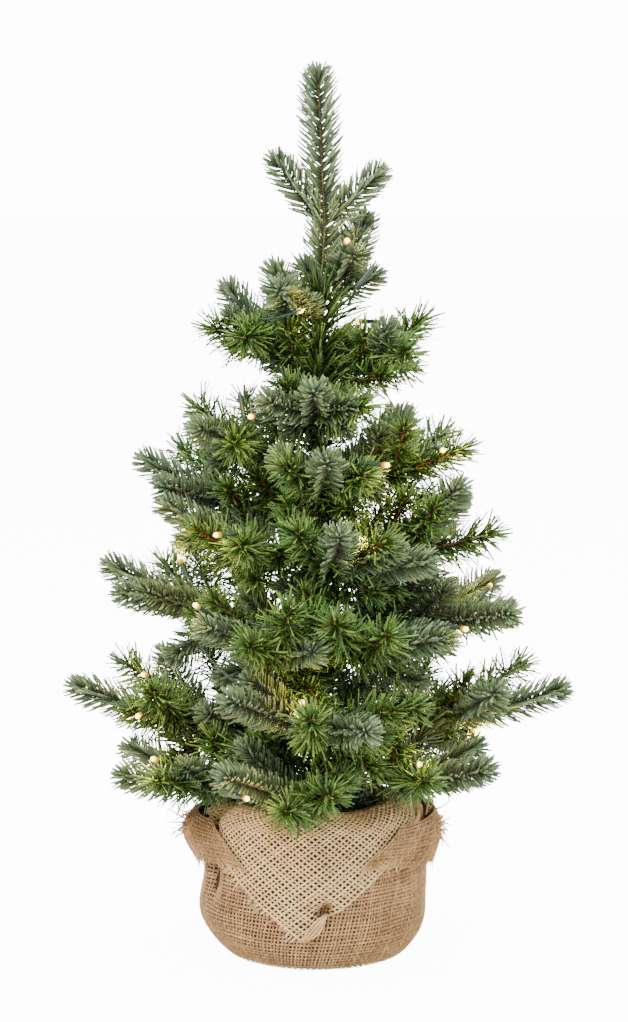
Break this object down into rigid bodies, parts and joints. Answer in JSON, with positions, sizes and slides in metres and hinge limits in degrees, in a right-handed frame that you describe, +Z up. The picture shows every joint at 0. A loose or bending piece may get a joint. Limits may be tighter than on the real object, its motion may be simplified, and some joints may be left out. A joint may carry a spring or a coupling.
{
  "type": "artificial tabletop tree",
  "caption": "Small artificial fir tree with bendable needle branches, a battery-powered warm lamp string and a weighted pot wrapped in folded jute cloth.",
  "frame": {"origin": "centre of the foot of the cloth-wrapped pot, on the surface it stands on, straight below the trunk", "axes": "+Z up along the trunk; the tree's front faces -Y and the battery box hangs at the back, towards +Y"},
  "size_m": [0.3431, 0.2875, 0.6],
  "materials": {
    "moulded_needles": "matte",
    "cut_needles": "satin",
    "tip_stem": "matte",
    "twisted_stem": "matte",
    "green_tape": "matte",
    "cable_plastic": "satin",
    "lamp_lens": "gloss",
    "jute_cloth": "matte",
    "jute_twine": "matte",
    "pot_plastic": "matte",
    "cement": "matte",
    "rod_steel": "satin",
    "box_plastic": "satin",
    "switch_plastic": "matte",
    "cell_sleeve": "gloss",
    "contact_steel": "satin"
  },
  "bodies": {
    "base": {"battery_case": "box_plastic", "battery_cell_1": "cell_sleeve", "battery_cell_2": "cell_sleeve", "battery_cell_3": "cell_sleeve", "burlap_wrap": "jute_cloth", "cement_weight": "cement", "contact_left": "contact_steel", "contact_right": "contact_steel", "jute_twine": "jute_twine", "leader_tip": "moulded_needles", "light_cable": "cable_plastic", "pot": "pot_plastic", "trunk_rod": "rod_steel", "trunk_tape": "green_tape"},
    "lid": {"battery_lid": "box_plastic"},
    "switch": {"switch_slider": "switch_plastic"},
    "branch_01_body": {"branch_01": "moulded_needles", "lamp_01": "cable_plastic"},
    "branch_02_body": {"branch_02": "moulded_needles", "lamp_02": "cable_plastic"},
    "branch_03_body": {"branch_03": "moulded_needles"},
    "branch_04_body": {"branch_04": "cut_needles", "lamp_03": "cable_plastic"},
    "branch_05_body": {"branch_05": "moulded_needles", "lamp_04": "cable_plastic"},
    "branch_06_body": {"branch_06": "cut_needles"},
    "branch_07_body": {"branch_07": "cut_needles"},
    "branch_08_body": {"branch_08": "cut_needles", "lamp_05": "cable_plastic"},
    "branch_09_body": {"branch_09": "moulded_needles", "lamp_06": "cable_plastic"},
    "branch_10_body": {"branch_10": "moulded_needles"},
    "branch_11_body": {"branch_11": "cut_needles", "lamp_07": "cable_plastic"},
    "branch_12_body": {"branch_12": "cut_needles"},
    "branch_13_body": {"branch_13": "moulded_needles", "lamp_08": "cable_plastic"},
    "branch_14_body": {"branch_14": "moulded_needles"},
    "branch_15_body": {"branch_15": "moulded_needles"},
    "branch_16_body": {"branch_16": "cut_needles", "lamp_09": "cable_plastic"},
    "branch_17_body": {"branch_17": "cut_needles", "lamp_10": "cable_plastic"},
    "branch_18_body": {"branch_18": "cut_needles", "lamp_11": "cable_plastic"},
    "branch_19_body": {"branch_19": "moulded_needles", "lamp_12": "cable_plastic", "lamp_13": "cable_plastic"},
    "branch_20_body": {"branch_20": "moulded_needles", "lamp_14": "cable_plastic"},
    "branch_21_body": {"branch_21": "cut_needles", "lamp_15": "cable_plastic"},
    "branch_22_body": {"branch_22": "cut_needles"},
    "branch_23_body": {"branch_23": "moulded_needles", "lamp_16": "cable_plastic"},
    "branch_24_body": {"branch_24": "cut_needles", "lamp_17": "cable_plastic"},
    "branch_25_body": {"branch_25": "moulded_needles", "lamp_18": "cable_plastic"},
    "branch_26_body": {"branch_26": "moulded_needles"}
  },
  "joints": [
    {"name": "branch_01_bend", "type": "hinge", "parent": "base", "child": "branch_01_body", "pos_m": [0.00709, 0.00554, 0.4357], "axis": [0.6157, -0.788, 0], "range_deg": [-10, 15]},
    {"name": "branch_02_bend", "type": "hinge", "parent": "base", "child": "branch_02_body", "pos_m": [-0.00795, -0.00422, 0.4257], "axis": [-0.4695, 0.8829, 0], "range_deg": [-10, 20]},
    {"name": "branch_03_bend", "type": "hinge", "parent": "base", "child": "branch_03_body", "pos_m": [-0.00865, 0.00248, 0.3907], "axis": [0.2756, 0.9613, 0], "range_deg": [-10, 20]},
    {"name": "branch_04_bend", "type": "hinge", "parent": "base", "child": "branch_04_body", "pos_m": [0.009, 0, 0.3827], "axis": [0, -1, 0], "range_deg": [-10, 20]},
    {"name": "branch_05_bend", "type": "hinge", "parent": "base", "child": "branch_05_body", "pos_m": [-0.00031, -0.00899, 0.3587], "axis": [-0.9994, 0.0349, 0], "range_deg": [-10, 20]},
    {"name": "branch_06_bend", "type": "hinge", "parent": "base", "child": "branch_06_body", "pos_m": [0, 0.009, 0.3707], "axis": [1, 0, 0], "range_deg": [-10, 20]},
    {"name": "branch_07_bend", "type": "hinge", "parent": "base", "child": "branch_07_body", "pos_m": [-0.00873, 0.00218, 0.3307], "axis": [0.2419, 0.9703, 0], "range_deg": [-10, 20]},
    {"name": "branch_08_bend", "type": "hinge", "parent": "base", "child": "branch_08_body", "pos_m": [0.00865, -0.00248, 0.3207], "axis": [-0.2756, -0.9613, 0], "range_deg": [-10, 20]},
    {"name": "branch_09_bend", "type": "hinge", "parent": "base", "child": "branch_09_body", "pos_m": [0.00063, -0.00898, 0.3057], "axis": [-0.9976, -0.0698, 0], "range_deg": [-10, 20]},
    {"name": "branch_10_bend", "type": "hinge", "parent": "base", "child": "branch_10_body", "pos_m": [-0.00898, 0.00063, 0.2907], "axis": [0.0698, 0.9976, 0], "range_deg": [-10, 20]},
    {"name": "branch_11_bend", "type": "hinge", "parent": "base", "child": "branch_11_body", "pos_m": [-0.00709, -0.00554, 0.2667], "axis": [-0.6157, 0.788, 0], "range_deg": [-10, 20]},
    {"name": "branch_12_bend", "type": "hinge", "parent": "base", "child": "branch_12_body", "pos_m": [0.0088, -0.00187, 0.2727], "axis": [-0.2079, -0.9781, 0], "range_deg": [-10, 20]},
    {"name": "branch_13_bend", "type": "hinge", "parent": "base", "child": "branch_13_body", "pos_m": [0.00125, -0.00891, 0.2507], "axis": [-0.9903, -0.1392, 0], "range_deg": [-10, 15]},
    {"name": "branch_14_bend", "type": "hinge", "parent": "base", "child": "branch_14_body", "pos_m": [-0.00063, 0.00898, 0.2807], "axis": [0.9976, 0.0698, 0], "range_deg": [-10, 20]},
    {"name": "branch_15_bend", "type": "hinge", "parent": "base", "child": "branch_15_body", "pos_m": [-0.00891, 0.00125, 0.2187], "axis": [0.1392, 0.9903, 0], "range_deg": [-10, 20]},
    {"name": "branch_16_bend", "type": "hinge", "parent": "base", "child": "branch_16_body", "pos_m": [0.00898, -0.00063, 0.2227], "axis": [-0.0698, -0.9976, 0], "range_deg": [-10, 20]},
    {"name": "branch_17_bend", "type": "hinge", "parent": "base", "child": "branch_17_body", "pos_m": [0.00337, -0.00834, 0.2027], "axis": [-0.9272, -0.3746, 0], "range_deg": [-10, 20]},
    {"name": "branch_18_bend", "type": "hinge", "parent": "base", "child": "branch_18_body", "pos_m": [-0.00337, -0.00834, 0.2107], "axis": [-0.9272, 0.3746, 0], "range_deg": [-10, 20]},
    {"name": "branch_19_bend", "type": "hinge", "parent": "base", "child": "branch_19_body", "pos_m": [-0.009, 0, 0.1487], "axis": [0, 1, 0], "range_deg": [-10, 20]},
    {"name": "branch_20_bend", "type": "hinge", "parent": "base", "child": "branch_20_body", "pos_m": [0.00895, -0.00094, 0.1527], "axis": [-0.1045, -0.9945, 0], "range_deg": [-10, 20]},
    {"name": "branch_21_bend", "type": "hinge", "parent": "base", "child": "branch_21_body", "pos_m": [-0.00031, -0.00899, 0.1567], "axis": [-0.9994, 0.0349, 0], "range_deg": [-10, 15]},
    {"name": "branch_22_bend", "type": "hinge", "parent": "base", "child": "branch_22_body", "pos_m": [0.00063, 0.00898, 0.1747], "axis": [0.9976, -0.0698, 0], "range_deg": [-10, 20]},
    {"name": "branch_23_bend", "type": "hinge", "parent": "base", "child": "branch_23_body", "pos_m": [-0.00865, -0.00248, 0.1177], "axis": [-0.2756, 0.9613, 0], "range_deg": [-10, 15]},
    {"name": "branch_24_bend", "type": "hinge", "parent": "base", "child": "branch_24_body", "pos_m": [-0.00156, -0.00886, 0.1147], "axis": [-0.9848, 0.1736, 0], "range_deg": [-5, 15]},
    {"name": "branch_25_bend", "type": "hinge", "parent": "base", "child": "branch_25_body", "pos_m": [0.00709, -0.00554, 0.1207], "axis": [-0.6157, -0.788, 0], "range_deg": [-10, 20]},
    {"name": "branch_26_bend", "type": "hinge", "parent": "base", "child": "branch_26_body", "pos_m": [-0.00422, 0.00795, 0.1247], "axis": [0.8829, 0.4695, 0], "range_deg": [-10, 20]},
    {"name": "lid_slide", "type": "slide", "parent": "base", "child": "lid", "axis": [1, 0, 0], "range_m": [0, 0.066]},
    {"name": "switch_slide", "type": "slide", "parent": "base", "child": "switch", "axis": [1, 0, 0], "range_m": [-0.004, 0]}
  ]
}
